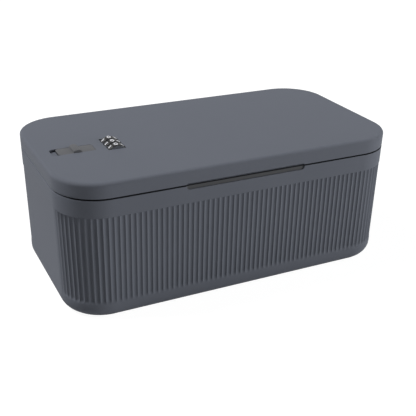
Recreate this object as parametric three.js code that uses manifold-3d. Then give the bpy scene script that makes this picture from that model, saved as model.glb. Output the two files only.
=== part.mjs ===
// Medication lock box: a fluted box with a lift-off lid, a slider bolt and three number dials.
// Millimetres, +Z up. The origin is the middle of the underside, -X is the lock end and -Y the front.
import * as THREE from 'three';
import { mergeVertices } from 'three/addons/utils/BufferGeometryUtils.js';
import Module from 'manifold-3d';

const wasm = await Module();
wasm.setup();

// Outer form, lid and box together
const length = 300;
const width = 164;
const cornerRadius = 37.2;
const footInset = 2;
const footFillet = 11.2;
const lidFillet = 2.8;

// Clearances
const seatGap = 0.3;
const runGap = 0.4;
const overrun = 2;
const mergeTolerance = 0.0001;

// Smoothness, in steps per quarter turn and sides per circle
const cornerSteps = 10;
const filletSteps = 4;
const smallRoundSteps = 4;
const screwSides = 12;
const socketSides = 6;
const axleSides = 20;
const windowSides = 40;
const discSides = 30;

// Box walls and rim
const wall = 3.2;
const floorThickness = 3;
const innerFillet = 8;
const rimHeight = 105.2;
const shadowGap = 1.1;
const rimStep = 1.7;

// Flutes on the long sides and round the corners
const fluteCrestPitch = 4.4;
const fluteDepth = 0.9;
const fluteSink = 0.3;
const fluteAboveFillet = 4.8;
const fluteBelowRim = 14.7;
const fluteRunout = 4;
const fluteSteps = 3;

// Finger recess in the front, under the lid
const fingerLength = 106;
const fingerDrop = 3;
const fingerDepth = 1;
const fingerEndRadius = 2.4;
const lidRelief = 1;

// Lid shell
const lidHeight = 12.7;
const skirtThickness = 3;
const lidTopThickness = 3;
const ribThickness = 1.6;
const ribDrop = 7.8;

// Keepers on the two end walls
const keeperRoof = 1.7;
const keeperSill = 3;
const keeperHeight = 11;
const keeperRound = 1.5;
const keeperScrewRise = 2.6;
const keeperRoomSide = 5;
const strikeHalfWidth = 17;
const strikeDepth = 4.78;
const hookKeeperMargin = 3;

// Lid hooks, which curl round the outer lower edge of the lid's end
const hookPlace = 20;
const hookWidth = 14;
const hookSideRoom = 2;
const barRadius = 8;
const hookThickness = 2;
const hookCurlShare = 0.667;
const hookRoundSteps = 8;
const hookPlateThickness = 2;
const hookPlateFromEnd = 32;
const hookPlateMargin = 1;
const hookScrewInset = 7;

// Screws
const screwRadius = 1.2;
const screwHeadRadius = 2.6;
const screwHeadHeight = 1;
const screwBite = 1;
const keeperScrewHeadRadius = 2.2;
const strikeScrewPlace = 12.5;
const hookScrewPlace = 6;
const keeperScrewBite = 1.6;
const socketRadius = 1.1;
const socketDepth = 0.6;

// Number dials
const lockOffset = -6.3;
const dialFromSlot = 16.5;
const dialCount = 3;
const dialRadius = 9.3;
const dialRise = 3.4;
const dialPitch = 8.69;
const dialWidth = 7;
const dialDigits = 10;
const dialGrooveDepth = 0.6;
const dialGrooveShare = 0.22;
const dialChamfer = 0.5;
const dialWindowGap = 0.6;
const axleRadius = 1.5;
const hubRadius = 3.6;
const discRadius = 7.4;
const discThickness = 0.9;
const notchDepth = 1.6;
const notchWidth = 2.2;

// Slider and its slot in the lid
const slotInFrame = 2.2;
const slotLength = 35.9;
const slotWidth = 14.4;
const slotCorner = 2.6;
const slideTravel = 5;
const buttonSink = 0.3;
const ridgeWidth = 6.8;
const ridgeHeight = 2.2;
const ridgeRound = 1.6;
const flangeThickness = 2.1;
const flangeBorder = 2.8;

// Bolt strip and locking fork
const stripThickness = 1.5;
const stripHalfWidth = 7;
const boltSink = 0.6;
const boltLength = 15.1;
const forkThickness = 1.2;
const forkBaseLength = 17;
const forkBarWidth = 4;
const forkSlim = 1;
const slideScrewFromEnd = 3.6;
const slideScrewPitch = 7;

// Lock frame, cover and axle
const frameFromKeeper = 0.7;
const frameHeight = 14.3;
const frameWall = 1.6;
const frameBesideDials = 6.2;
const frameBehindDials = 7;
const frameCorner = 2;
const postRadius = 3;
const postInset = 4.2;
const bossHeight = 2.4;
const railRoom = 1;
const railLength = 25;
const railThickness = 3.3;
const coverThickness = 1.2;
const clipRadius = 2.5;
const clipThickness = 0.6;

// Detent spring
const springThickness = 0.5;
const springMargin = 0.6;
const springFingerWidth = 4.4;
const springBaseHeight = 7;
const springTipRise = 2.1;

// Code lever
const leverThickness = 1.5;
const leverTravel = 3;
const leverPadLength = 7;
const leverPadWidth = 8.2;
const leverArmWidth = 1.6;
const leverFromDials = 5.5;
const leverPostLength = 5;
const knobRadius = 1.6;
const knobDrop = 0.8;

// Heights and places that follow from the sizes above
const fullTurn = 2 * Math.PI;
const quarterTurn = Math.PI / 2;
const halfLength = length / 2;
const halfWidth = width / 2;
const lidEdge = rimHeight + shadowGap;
const height = lidEdge + lidHeight;
const lipHeight = lidEdge - seatGap;
const lidUnderside = height - lidTopThickness;
const ribInset = wall + runGap;
const ribFoot = lidEdge - ribDrop;
const fluteFoot = footFillet + fluteAboveFillet;
const fluteTop = rimHeight - fluteBelowRim;
const hingeX = halfLength - insetAt(lidEdge);
const hingeZ = lidEdge;

// Heights in the lock, from the lid's underside down
const frameTop = lidUnderside - seatGap;
const frameFoot = frameTop - frameHeight;
const coverTop = frameFoot - seatGap;
const flangeTop = lidUnderside - seatGap;
const flangeBottom = flangeTop - flangeThickness;
const railTop = flangeBottom - seatGap;
const forkTop = flangeBottom - seatGap;
const forkBottom = forkTop - forkThickness;
const tabTop = forkBottom - seatGap;
const dialZ = height + dialRise - dialRadius;
const keeperTop = frameFoot + stripThickness + runGap + keeperRoof;
const keeperFoot = keeperTop - keeperHeight;
const keeperScrewHeight = keeperFoot + keeperScrewRise;

// Places along the lock, from the end wall inwards
const keeperBack = halfLength - insetAt(keeperFoot) - wall - seatGap;
const strikeFace = keeperBack - strikeDepth;
const frameLeft = -strikeFace + frameFromKeeper;
const slotLeft = frameLeft + slotInFrame;
const slotRight = slotLeft + slotLength;
const buttonRight = slotRight - seatGap;
const buttonLeft = slotLeft + slideTravel + seatGap;
const buttonHalfWidth = slotWidth / 2 - seatGap;
const dialX = slotRight + dialFromSlot;
const frameRight = dialX + dialRadius + frameBehindDials;
const leverX = dialX - dialRadius - leverFromDials;

// Places across the lock
const firstDialY = lockOffset - ((dialCount - 1) * dialPitch) / 2;
const dialYs = Array.from({ length: dialCount }, (_, i) => firstDialY + i * dialPitch);
const discOffset = dialPitch / 2;
const frameHalfWidth = (dialCount * dialPitch) / 2 + frameBesideDials;
const frameFront = lockOffset - frameHalfWidth;
const frameBack = lockOffset + frameHalfWidth;
const flangeHalfWidth = slotWidth / 2 + flangeBorder;
const springHalfWidth = ((dialCount - 1) * dialPitch + springFingerWidth) / 2 + springMargin;
const leverFront = frameFront + frameWall + runGap;
const knobY = leverFront + leverPadWidth / 2;

// Screw places and holes
const screwHole = screwRadius + seatGap;
const bossRadius = postInset - frameWall - seatGap;
const bossFoot = lidUnderside - bossHeight;
const lidScrewTip = lidUnderside + screwBite;
const postXs = [frameLeft + postInset, frameRight - postInset];
const postYs = [frameFront + postInset, frameBack - postInset];
const posts = postXs.flatMap((x) => postYs.map((y) => [x, y]));
const hookPlateInner = halfLength - hookPlateFromEnd;
const hookScrewSpots = [-hookPlace, 0, hookPlace].map((y) => [hookPlateInner + hookScrewInset, y]);
const keeperScrewTip = halfLength - insetAt(keeperScrewHeight) - wall + keeperScrewBite;
const strikeScrews = [lockOffset - strikeScrewPlace, lockOffset + strikeScrewPlace];
const hookScrews = [-hookScrewPlace, hookScrewPlace];
const tabRight = buttonRight - seatGap;
const slideScrewSpots = [0, slideScrewPitch].map((place) => tabRight - slideScrewFromEnd - place);
const slideScrewTip = height - buttonSink - screwBite;

// How far the wall stands in at a height, because the box narrows to its foot
function insetAt(z) {
  return footInset * (1 - z / height);
}

// Finishes
const plastic = { roughness: 0.55, metalness: 0 };
const steel = { roughness: 0.35, metalness: 0.9 };
const greyShell = new THREE.MeshStandardMaterial({ color: 0x5d6068, ...plastic });
const greySlider = new THREE.MeshStandardMaterial({ color: 0x68686a, ...plastic });
const darkInner = new THREE.MeshStandardMaterial({ color: 0x3b3d42, ...plastic });
const blackDial = new THREE.MeshStandardMaterial({ color: 0x121316, roughness: 0.35, metalness: 0 });
const paleSleeve = new THREE.MeshStandardMaterial({ color: 0xb9b6ad, ...plastic });
const plainSteel = new THREE.MeshStandardMaterial({ color: 0xa7a9ad, ...steel });

const lockBox = new THREE.Group();
const lid = new THREE.Group();
const slider = new THREE.Group();
lockBox.add(lid);
lid.add(slider);

function toSolid(geometry) {
  const bare = geometry.clone();
  bare.deleteAttribute('normal');
  bare.deleteAttribute('uv');
  const merged = mergeVertices(bare, mergeTolerance);
  const vertProperties = new Float32Array(merged.attributes.position.array);
  const triVerts = new Uint32Array(merged.index.array);
  return new wasm.Manifold(new wasm.Mesh({ numProp: 3, vertProperties, triVerts }));
}

function toGeometry(solid) {
  const mesh = solid.getMesh();
  const geometry = new THREE.BufferGeometry();
  geometry.setAttribute('position', new THREE.BufferAttribute(new Float32Array(mesh.vertProperties), 3));
  geometry.setIndex(new THREE.BufferAttribute(new Uint32Array(mesh.triVerts), 1));
  geometry.computeVertexNormals();
  return geometry;
}

function addPiece(group, name, solid, material) {
  const mesh = new THREE.Mesh(toGeometry(solid), material);
  mesh.name = name;
  group.add(mesh);
}

function addCopies(group, name, solids, material) {
  solids.forEach((solid, i) => addPiece(group, `${name}_${i + 1}`, solid, material));
}

function joined(solids) {
  return solids.reduce((whole, solid) => whole.add(solid));
}

function cutBy(solid, cutters) {
  return cutters.reduce((rest, cutter) => rest.subtract(cutter), solid);
}

// Prisms: an outline drawn in two axes and carried along the third
function extruded(shape, depth, curveSteps) {
  return new THREE.ExtrudeGeometry(shape, { depth, bevelEnabled: false, curveSegments: curveSteps });
}

function prismXY(shape, low, high, curveSteps = smallRoundSteps) {
  return toSolid(extruded(shape, high - low, curveSteps).translate(0, 0, low));
}

function prismXZ(shape, low, high, curveSteps = smallRoundSteps) {
  return toSolid(extruded(shape, high - low, curveSteps).translate(0, 0, -high).rotateX(quarterTurn));
}

function prismYZ(shape, low, high, curveSteps = smallRoundSteps) {
  const turn = new THREE.Matrix4().set(0, 0, 1, 0, 1, 0, 0, 0, 0, 1, 0, 0, 0, 0, 0, 1);
  return toSolid(extruded(shape, high - low, curveSteps).translate(0, 0, low).applyMatrix4(turn));
}

function rectangle(left, right, low, high) {
  const shape = new THREE.Shape();
  shape.moveTo(left, low);
  shape.lineTo(right, low);
  shape.lineTo(right, high);
  shape.lineTo(left, high);
  shape.closePath();
  return shape;
}

function roundedRectangle(left, right, low, high, radius) {
  const shape = new THREE.Shape();
  shape.moveTo(left + radius, low);
  shape.lineTo(right - radius, low);
  shape.absarc(right - radius, low + radius, radius, -quarterTurn, 0, false);
  shape.lineTo(right, high - radius);
  shape.absarc(right - radius, high - radius, radius, 0, quarterTurn, false);
  shape.lineTo(left + radius, high);
  shape.absarc(left + radius, high - radius, radius, quarterTurn, Math.PI, false);
  shape.lineTo(left, low + radius);
  shape.absarc(left + radius, low + radius, radius, Math.PI, Math.PI + quarterTurn, false);
  return shape;
}

function polygon(points) {
  return new THREE.Shape(points.map(([x, y]) => new THREE.Vector2(x, y)));
}

function disc(x, y, radius, sides) {
  const corners = Array.from({ length: sides }, (_, i) => (i * fullTurn) / sides);
  return polygon(corners.map((angle) => [x + radius * Math.cos(angle), y + radius * Math.sin(angle)]));
}

function block(left, right, front, back, low, high) {
  return prismXY(rectangle(left, right, front, back), low, high);
}

// Lofts: closed bodies through rings of equal point counts
function ringFaces(count, rings, wraps) {
  const faces = [];
  const bands = wraps ? rings : rings - 1;
  for (let band = 0; band < bands; band += 1) {
    const lower = band * count;
    const upper = ((band + 1) % rings) * count;
    for (let i = 0; i < count; i += 1) {
      const next = (i + 1) % count;
      faces.push(lower + i, lower + next, upper + next, lower + i, upper + next, upper + i);
    }
  }
  return faces;
}

function meshOf(points, faces) {
  const geometry = new THREE.BufferGeometry().setFromPoints(points);
  geometry.setIndex(faces);
  return toSolid(geometry);
}

function loft(rings) {
  const count = rings[0].length;
  const points = rings.flat();
  const faces = ringFaces(count, rings.length, false);
  const lastRing = (rings.length - 1) * count;
  for (let i = 1; i < count - 1; i += 1) {
    faces.push(0, i + 1, i);
    faces.push(lastRing, lastRing + i, lastRing + i + 1);
  }
  return meshOf(points, faces);
}

function ringLoft(rings) {
  return meshOf(rings.flat(), ringFaces(rings[0].length, rings.length, true));
}

// The plan outline at a height: the overall rounded rectangle, moved in all round by an inset
function outline(inset, z) {
  const radius = cornerRadius - inset;
  const middleX = halfLength - cornerRadius;
  const middleY = halfWidth - cornerRadius;
  const middles = [[middleX, middleY], [-middleX, middleY], [-middleX, -middleY], [middleX, -middleY]];
  return middles.flatMap(([x, y], corner) =>
    Array.from({ length: cornerSteps + 1 }, (_, step) => {
      const angle = quarterTurn * (corner + step / cornerSteps);
      return new THREE.Vector3(x + radius * Math.cos(angle), y + radius * Math.sin(angle), z);
    }),
  );
}

// Rings of a wall that follows the taper, from one height to another, a given way in from the outside
function wallRings(inset, low, high) {
  return [outline(insetAt(low) + inset, low), outline(insetAt(high) + inset, high)];
}

// Rings that round the lower edge of a tapered body: a quarter circle from its underside to its wall
function footRings(inset, low, radius) {
  return Array.from({ length: filletSteps }, (_, step) => {
    const angle = (quarterTurn * step) / filletSteps;
    const z = low + radius * (1 - Math.cos(angle));
    return outline(insetAt(z) + inset + radius * (1 - Math.sin(angle)), z);
  });
}

// The fluted surface: hollows that repeat along both long sides and their corners, cut by a ring
const fluteStraight = halfLength - cornerRadius;
const fluteArcRadius = cornerRadius - insetAt((fluteFoot + fluteTop) / 2);
const fluteReach = fluteStraight + fluteArcRadius * quarterTurn;
const flutesPerSide = 2 * Math.round(fluteReach / fluteCrestPitch) - 1;
const fluteStepsPerSide = flutesPerSide * fluteSteps;

// A flute's section: a crest at each side and a flat floor between them
function fluteProfile(step) {
  return step % fluteSteps === 0 ? 0 : fluteDepth;
}

function flutedRing(z, inset, depthShare) {
  const sides = [-1, 1];
  return sides.flatMap((side) =>
    Array.from({ length: fluteStepsPerSide + 1 }, (_, step) => {
      const along = fluteReach * ((2 * step) / fluteStepsPerSide - 1);
      const depth = insetAt(z) + inset + depthShare * fluteProfile(step);
      const past = Math.max(Math.abs(along) - fluteStraight, 0);
      const angle = past / fluteArcRadius;
      const radius = cornerRadius - depth;
      const end = Math.sign(along);
      const straight = past > 0 ? end * fluteStraight : along;
      const x = straight + (past > 0 ? end * radius * Math.sin(angle) : 0);
      const y = halfWidth - cornerRadius + radius * Math.cos(angle);
      return new THREE.Vector3(-side * x, side * y, z);
    }),
  );
}

function fluteCutter() {
  const runoutLow = fluteFoot - fluteRunout / 2;
  const runoutHigh = fluteFoot + fluteRunout / 2;
  return ringLoft([
    flutedRing(runoutLow, -overrun, 0),
    flutedRing(fluteTop, -overrun, 0),
    flutedRing(fluteTop, fluteSink, 1),
    flutedRing(runoutHigh, fluteSink, 1),
    flutedRing(runoutLow, -fluteSink, 0),
  ]);
}

// Screws along Z with the head at the foot, and along X with the head towards the box's middle
function screwZ(x, y, headFoot, tip) {
  const head = prismXY(disc(x, y, screwHeadRadius, screwSides), headFoot, headFoot + screwHeadHeight);
  const shank = prismXY(disc(x, y, screwRadius, screwSides), headFoot, tip);
  const socket = prismXY(disc(x, y, socketRadius, socketSides), headFoot - overrun, headFoot + socketDepth);
  return head.add(shank).subtract(socket);
}

function screwX(side, face, y, z, tip) {
  const headIn = face - seatGap - screwHeadHeight;
  const spans = (from, to) => (side > 0 ? [from, to] : [-to, -from]);
  const head = prismYZ(disc(y, z, keeperScrewHeadRadius, screwSides), ...spans(headIn, face - seatGap));
  const shank = prismYZ(disc(y, z, screwRadius, screwSides), ...spans(headIn, tip));
  const socketSpan = spans(headIn - overrun, headIn + socketDepth);
  const socket = prismYZ(disc(y, z, socketRadius, socketSides), ...socketSpan);
  return head.add(shank).subtract(socket);
}

function holeX(side, y, z, from, to) {
  const span = side > 0 ? [from, to] : [-to, -from];
  return prismYZ(disc(y, z, screwHole, screwSides), ...span);
}

// Box
function fingerCut(low, high, depth) {
  const radius = fingerEndRadius;
  const shape = roundedRectangle(-fingerLength / 2, fingerLength / 2, low, high, radius);
  const face = -halfWidth + insetAt(rimHeight) + depth;
  return prismXZ(shape, -halfWidth - overrun, face);
}

function makeBoxBody() {
  const outside = loft([...footRings(0, 0, footFillet), ...wallRings(0, footFillet, rimHeight)]);
  const lip = loft(wallRings(rimStep, rimHeight - overrun, lipHeight));
  const hollow = loft([
    ...footRings(wall, floorThickness, innerFillet),
    ...wallRings(wall, floorThickness + innerFillet, lipHeight + overrun),
  ]);
  const fingerTop = lipHeight + fingerEndRadius + overrun;
  const finger = fingerCut(rimHeight - fingerDrop, fingerTop, fingerDepth);
  const strikeHoles = strikeScrews.map((y) => keeperHole(-1, y));
  const hookHoles = hookScrews.map((y) => keeperHole(1, y));
  return cutBy(outside.add(lip), [hollow, fluteCutter(), finger, ...strikeHoles, ...hookHoles]);
}

function keeperHole(side, y) {
  return holeX(side, y, keeperScrewHeight, keeperBack - overrun, keeperScrewTip + seatGap);
}

function makeStrikeKeeper() {
  const front = lockOffset - strikeHalfWidth;
  const back = lockOffset + strikeHalfWidth;
  const shape = roundedRectangle(-keeperBack, -strikeFace, keeperFoot, keeperTop, keeperRound);
  const boltRoom = stripHalfWidth + runGap;
  const slotLow = keeperFoot + keeperSill;
  const slotHigh = keeperTop - keeperRoof;
  const slot = block(-keeperBack - overrun, -strikeFace + overrun, lockOffset - boltRoom,
    lockOffset + boltRoom, slotLow, slotHigh);
  const holes = strikeScrews.map((y) =>
    holeX(-1, y, keeperScrewHeight, strikeFace - overrun, keeperBack + overrun));
  return cutBy(prismXZ(shape, front, back), [slot, ...holes]);
}

// A ring sector about the lid's tipping edge, from the level down through an angle
function sector(inner, outer, sweep) {
  const steps = Array.from({ length: hookRoundSteps + 1 }, (_, step) => (sweep * step) / hookRoundSteps);
  const arc = (radius) => steps.map((angle) =>
    [hingeX - radius * Math.cos(angle), hingeZ - radius * Math.sin(angle)]);
  return polygon([...arc(outer), ...arc(inner).reverse()]);
}

const hookWindow = hookWidth + 2 * hookSideRoom;
const hookKeeperHalfWidth = hookPlace + hookWindow / 2 + hookKeeperMargin;
const barFace = hingeX - Math.sqrt(barRadius ** 2 - (hingeZ - keeperTop) ** 2);

function makeHookKeeper() {
  const shape = roundedRectangle(barFace, keeperBack, keeperFoot, keeperTop, keeperRound);
  const whole = prismXZ(shape, -hookKeeperHalfWidth, hookKeeperHalfWidth);
  const reach = barRadius + keeperHeight + overrun;
  const sweep = sector(barRadius, reach, quarterTurn);
  const windows = [-hookPlace, hookPlace].map((y) =>
    prismXZ(sweep, y - hookWindow / 2, y + hookWindow / 2));
  const holes = hookScrews.map((y) =>
    holeX(1, y, keeperScrewHeight, barFace - overrun, keeperBack + overrun));
  return cutBy(whole, [...windows, ...holes]);
}

function makeKeeperScrews() {
  const strike = strikeScrews.map((y) => screwX(-1, strikeFace, y, keeperScrewHeight, keeperScrewTip));
  const hook = hookScrews.map((y) => screwX(1, barFace, y, keeperScrewHeight, keeperScrewTip));
  return [...strike, ...hook];
}

// Lid: at each end its inner rib makes room for the keeper
function endRoom(side, middle, halfRoom) {
  const inner = halfLength - ribInset - ribThickness - overrun;
  const outer = halfLength - insetAt(lidEdge) - skirtThickness;
  const [left, right] = side > 0 ? [inner, outer] : [-outer, -inner];
  return block(left, right, middle - halfRoom, middle + halfRoom, ribFoot - overrun, lidUnderside);
}

function makeLidShell() {
  const crownSteps = Array.from({ length: filletSteps }, (_, step) => {
    const angle = (quarterTurn * (step + 1)) / filletSteps;
    const z = height - lidFillet * (1 - Math.sin(angle));
    return outline(insetAt(z) + lidFillet * (1 - Math.cos(angle)), z);
  });
  const outside = loft([...wallRings(0, lidEdge, height - lidFillet), ...crownSteps]);
  const rib = loft(wallRings(ribInset, ribFoot, lidUnderside + overrun / 2));
  const hollow = loft(wallRings(ribInset + ribThickness, ribFoot - overrun, lidUnderside));
  const bosses = posts.map(([x, y]) =>
    prismXY(disc(x, y, bossRadius, screwSides), bossFoot, lidUnderside + overrun / 2));
  const shell = cutBy(outside.add(rib), [
    hollow,
    endRoom(-1, lockOffset, strikeHalfWidth + keeperRoomSide),
    endRoom(1, 0, hookKeeperHalfWidth + runGap),
  ]);
  const slotShape = roundedRectangle(slotLeft, slotRight, lockOffset - slotWidth / 2,
    lockOffset + slotWidth / 2, slotCorner);
  const slot = prismXY(slotShape, lidUnderside - overrun, height + overrun);
  const holes = [...posts, ...hookScrewSpots].map(([x, y]) =>
    prismXY(disc(x, y, screwHole, screwSides), bossFoot - overrun, lidScrewTip + seatGap));
  const reliefTop = lidEdge + lidRelief;
  const relief = fingerCut(reliefTop - 2 * fingerEndRadius - overrun, reliefTop, skirtThickness + seatGap);
  return cutBy(joined([shell, ...bosses]), [slot, dialWindow(), relief, ...holes]);
}

function dialWindow() {
  const shape = disc(dialX, dialZ, dialRadius + dialWindowGap, windowSides);
  const halfSpan = (dialPitch * dialCount) / 2 + dialWindowGap;
  return prismXZ(shape, lockOffset - halfSpan, lockOffset + halfSpan);
}

function makeHookBracket() {
  const plateTop = lidUnderside - seatGap;
  const inner = barRadius + seatGap;
  const outer = inner + hookThickness;
  const plateHalfWidth = hookPlace + hookWidth / 2 + hookPlateMargin;
  const plate = prismXY(
    roundedRectangle(hookPlateInner, hingeX - inner, -plateHalfWidth, plateHalfWidth, frameCorner),
    plateTop - hookPlateThickness, plateTop);
  const curl = sector(inner, outer, hookCurlShare * quarterTurn);
  const arm = rectangle(hingeX - outer, hingeX - inner, hingeZ, plateTop - hookPlateThickness / 2);
  const hooks = [-hookPlace, hookPlace].flatMap((y) =>
    [curl, arm].map((shape) => prismXZ(shape, y - hookWidth / 2, y + hookWidth / 2)));
  const holes = hookScrewSpots.map(([x, y]) =>
    prismXY(disc(x, y, screwHole, screwSides), plateTop - overrun * 2, plateTop + overrun));
  return cutBy(joined([plate, ...hooks]), holes);
}

function makeHookScrews() {
  const headFoot = lidUnderside - seatGap - hookPlateThickness - seatGap - screwHeadHeight;
  return hookScrewSpots.map(([x, y]) => screwZ(x, y, headFoot, lidScrewTip));
}

// Lock frame and what it carries
function makeLockFrame() {
  const outside = prismXY(roundedRectangle(frameLeft, frameRight, frameFront, frameBack, frameCorner),
    frameFoot, frameTop);
  const chamber = block(frameLeft + frameWall, frameRight - frameWall, frameFront + frameWall,
    frameBack - frameWall, frameFoot - overrun, frameTop + overrun);
  const uprights = posts.map(([x, y]) =>
    prismXY(disc(x, y, postRadius, screwSides), frameFoot, bossFoot - seatGap));
  const rails = [-1, 1].map((side) => {
    const near = lockOffset + side * (stripHalfWidth + railRoom);
    const far = lockOffset + side * (frameHalfWidth - frameWall / 2);
    return block(frameLeft + frameWall / 2, frameLeft + frameWall + railLength, Math.min(near, far),
      Math.max(near, far), railTop - railThickness, railTop);
  });
  const flangeRoom = block(frameLeft - overrun, frameLeft + frameWall + overrun,
    lockOffset - flangeHalfWidth - runGap, lockOffset + flangeHalfWidth + runGap,
    railTop, frameTop + overrun);
  const boltRoom = stripHalfWidth + runGap;
  const boltExit = block(frameLeft - overrun, frameLeft + frameWall + overrun, lockOffset - boltRoom,
    lockOffset + boltRoom, frameFoot - overrun, frameFoot + stripThickness + runGap);
  const axleHole = prismXZ(disc(dialX, dialZ, axleRadius + seatGap, axleSides), frameFront - overrun,
    frameBack + overrun);
  const screwHoles = posts.map(([x, y]) =>
    prismXY(disc(x, y, screwHole, screwSides), frameFoot - overrun, frameTop));
  const whole = joined([outside.subtract(chamber), ...uprights, ...rails]);
  return cutBy(whole, [flangeRoom, boltExit, axleHole, ...screwHoles]);
}

function makeLockCover() {
  const plate = prismXY(roundedRectangle(frameLeft, frameRight, frameFront, frameBack, frameCorner),
    coverTop - coverThickness, coverTop);
  const holes = posts.map(([x, y]) =>
    prismXY(disc(x, y, screwHole, screwSides), coverTop - overrun * 2, coverTop + overrun));
  const knobRoom = knobRadius + runGap;
  const knobSlot = prismXY(
    roundedRectangle(leverX - knobRoom, leverX + knobRoom, knobY - knobRoom,
      knobY + leverTravel + knobRoom, knobRoom - seatGap),
    coverTop - overrun * 2, coverTop + overrun);
  return cutBy(plate, [...holes, knobSlot]);
}

function makeLockScrews() {
  const headFoot = coverTop - coverThickness - seatGap - screwHeadHeight;
  return posts.map(([x, y]) => screwZ(x, y, headFoot, lidScrewTip));
}

function makeDialAxle() {
  const past = seatGap + clipThickness + seatGap;
  return prismXZ(disc(dialX, dialZ, axleRadius, axleSides), frameFront - past, frameBack + past);
}

function makeAxleClips() {
  const outer = disc(dialX, dialZ, clipRadius, axleSides);
  const hole = disc(dialX, dialZ, axleRadius + seatGap, axleSides);
  outer.holes.push(new THREE.Path(hole.getPoints().reverse()));
  const frontClip = prismXZ(outer, frameFront - seatGap - clipThickness, frameFront - seatGap);
  const backClip = prismXZ(outer, frameBack + seatGap, frameBack + seatGap + clipThickness);
  return [frontClip, backClip];
}

// A strip's outline in the XZ plane: a middle line with half the thickness to each side
function stripOutline(line, thickness) {
  const shift = thickness / 2;
  const left = [];
  const right = [];
  line.forEach(([x, z], i) => {
    const [beforeX, beforeZ] = line[Math.max(i - 1, 0)];
    const [afterX, afterZ] = line[Math.min(i + 1, line.length - 1)];
    const along = new THREE.Vector2(afterX - beforeX, afterZ - beforeZ).normalize();
    left.push([x - shift * along.y, z + shift * along.x]);
    right.unshift([x + shift * along.y, z - shift * along.x]);
  });
  return polygon([...left, ...right]);
}

function makeDetentSpring() {
  const baseX = frameRight - frameWall - seatGap - springThickness / 2;
  const tipX = dialX + dialRadius + seatGap + springThickness;
  const low = frameFoot;
  const high = frameFoot + springBaseHeight;
  const base = stripOutline([[baseX, low], [baseX, high]], springThickness);
  const bend = [[baseX, high - springThickness], [tipX, dialZ], [baseX, dialZ + springTipRise]];
  const finger = stripOutline(bend, springThickness);
  const plate = prismXZ(base, lockOffset - springHalfWidth, lockOffset + springHalfWidth);
  const fingers = dialYs.map((y) => prismXZ(finger, y - springFingerWidth / 2, y + springFingerWidth / 2));
  return joined([plate, ...fingers]);
}

// A dial's rim: ten faces with a finger groove between each two, at a distance in from its full radius
function dialRim(inset) {
  const pitchAngle = fullTurn / dialDigits;
  const grooveShares = [-0.5, -0.5 + dialGrooveShare / 2, 0, 0.5 - dialGrooveShare / 2];
  const points = [];
  for (let face = 0; face < dialDigits; face += 1) {
    grooveShares.forEach((share, i) => {
      const angle = quarterTurn + pitchAngle * (face + share);
      const radius = dialRadius - inset - (i === 0 ? dialGrooveDepth : 0);
      points.push([dialX + radius * Math.cos(angle), dialZ + radius * Math.sin(angle)]);
    });
  }
  return points;
}

function makeNumberDial(y) {
  const levels = [[-dialWidth / 2, dialChamfer], [dialChamfer - dialWidth / 2, 0],
    [dialWidth / 2 - dialChamfer, 0], [dialWidth / 2, dialChamfer]];
  const rings = levels.map(([offset, inset]) =>
    dialRim(inset).map(([x, z]) => new THREE.Vector3(x, y + offset, z)).reverse());
  const bore = prismXZ(disc(dialX, dialZ, hubRadius + seatGap, dialDigits), y - dialWidth, y + dialWidth);
  return loft(rings).subtract(bore);
}

function makeCodeSleeve(y) {
  const hubFrom = y + discOffset + discThickness / 2 - dialPitch + seatGap;
  const hubTo = y + discOffset + discThickness / 2;
  const hub = prismXZ(disc(dialX, dialZ, hubRadius, dialDigits), hubFrom, hubTo);
  const plate = prismXZ(disc(dialX, dialZ, discRadius, discSides), hubTo - discThickness, hubTo);
  const bore = prismXZ(disc(dialX, dialZ, axleRadius + seatGap, axleSides), hubFrom - overrun,
    hubTo + overrun);
  const notch = block(dialX - discRadius - overrun, dialX - discRadius + notchDepth, hubTo - overrun,
    hubTo + overrun, dialZ - notchWidth / 2, dialZ + notchWidth / 2);
  return cutBy(hub.add(plate), [bore, notch]);
}

// Slider: the button, the bolt strip below it and the fork between them
function makeSlideButton() {
  const top = height - buttonSink;
  const plate = prismXY(roundedRectangle(buttonLeft, buttonRight, lockOffset - buttonHalfWidth,
    lockOffset + buttonHalfWidth, slotCorner - seatGap), flangeBottom, top);
  const flange = block(buttonLeft - slideTravel, buttonRight + slideTravel, lockOffset - flangeHalfWidth,
    lockOffset + flangeHalfWidth, flangeBottom, flangeTop);
  const middle = (buttonLeft + buttonRight) / 2;
  const ridge = prismXZ(roundedRectangle(middle - ridgeWidth / 2, middle + ridgeWidth / 2,
    top - ridgeRound - ridgeHeight, height + ridgeHeight, ridgeRound), lockOffset - buttonHalfWidth,
    lockOffset + buttonHalfWidth);
  const holes = slideScrewSpots.map((x) =>
    prismXY(disc(x, lockOffset, screwHole, screwSides), flangeBottom - overrun, slideScrewTip + seatGap));
  return cutBy(joined([plate, flange, ridge]), holes);
}

function makeLatchBolt() {
  const tip = frameLeft + boltSink;
  const low = frameFoot;
  const webLeft = tip + boltLength;
  const profile = polygon([
    [tip, low], [webLeft + stripThickness, low], [webLeft + stripThickness, tabTop - stripThickness],
    [tabRight, tabTop - stripThickness], [tabRight, tabTop], [webLeft, tabTop],
    [webLeft, low + stripThickness], [tip, low + stripThickness],
  ]);
  const strip = prismXZ(profile, lockOffset - stripHalfWidth, lockOffset + stripHalfWidth);
  const holes = slideScrewSpots.map((x) =>
    prismXY(disc(x, lockOffset, screwHole, screwSides), low + stripThickness, tabTop + overrun));
  return cutBy(strip, holes);
}

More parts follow.
